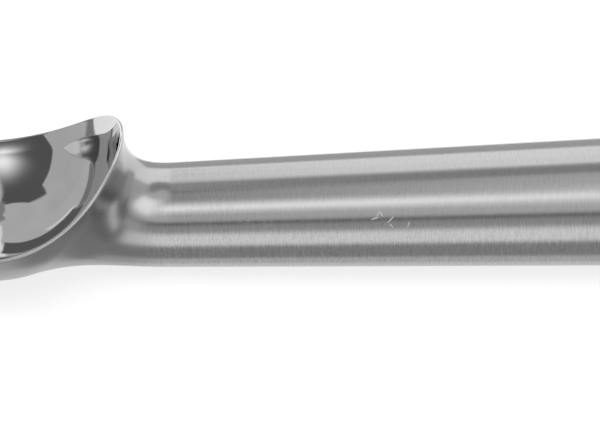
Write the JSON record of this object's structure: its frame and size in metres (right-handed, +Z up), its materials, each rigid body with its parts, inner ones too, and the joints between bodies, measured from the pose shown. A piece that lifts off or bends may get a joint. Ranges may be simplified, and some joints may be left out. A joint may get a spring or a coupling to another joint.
{
  "type": "ice cream scoop",
  "caption": "Hand-held ice cream scoop: round polished bowl with a dipping rim, filleted neck and thick tapered metal handle, filled with liquid and closed by a sealed plug and end cap.",
  "frame": {"origin": "point of the table under the middle of the scoop's length, as it lies on the bowl's and the handle's undersides", "axes": "+X from the bowl to the end of the handle, +Z up out of the bowl, +Y across, so the picture looks along +Y"},
  "size_m": [0.184, 0.0504, 0.0319],
  "materials": {
    "polished_aluminium": "mirror polished inside the bowl, softer polish outside",
    "brushed_aluminium": "satin, brushed round the handle",
    "turned_aluminium": "fine turned face",
    "plug_aluminium": "machined",
    "stainless_steel": "plain bright",
    "spring_steel": "dark, phosphated",
    "seal_rubber": "matt black",
    "liquid_filling": "clear liquid"
  },
  "bodies": {
    "root": {"scoop_head": "polished_aluminium", "handle_sleeve": "brushed_aluminium", "neck_weld_bead": "brushed_aluminium", "end_cap": "turned_aluminium", "sealing_plug": "plug_aluminium", "fill_screw": "stainless_steel", "retaining_ring": "spring_steel", "fill_screw_washer": "seal_rubber", "plug_o_ring_inner": "seal_rubber", "plug_o_ring_outer": "seal_rubber", "end_cap_o_ring": "seal_rubber", "heat_transfer_fluid": "liquid_filling"}
  },
  "joints": []
}
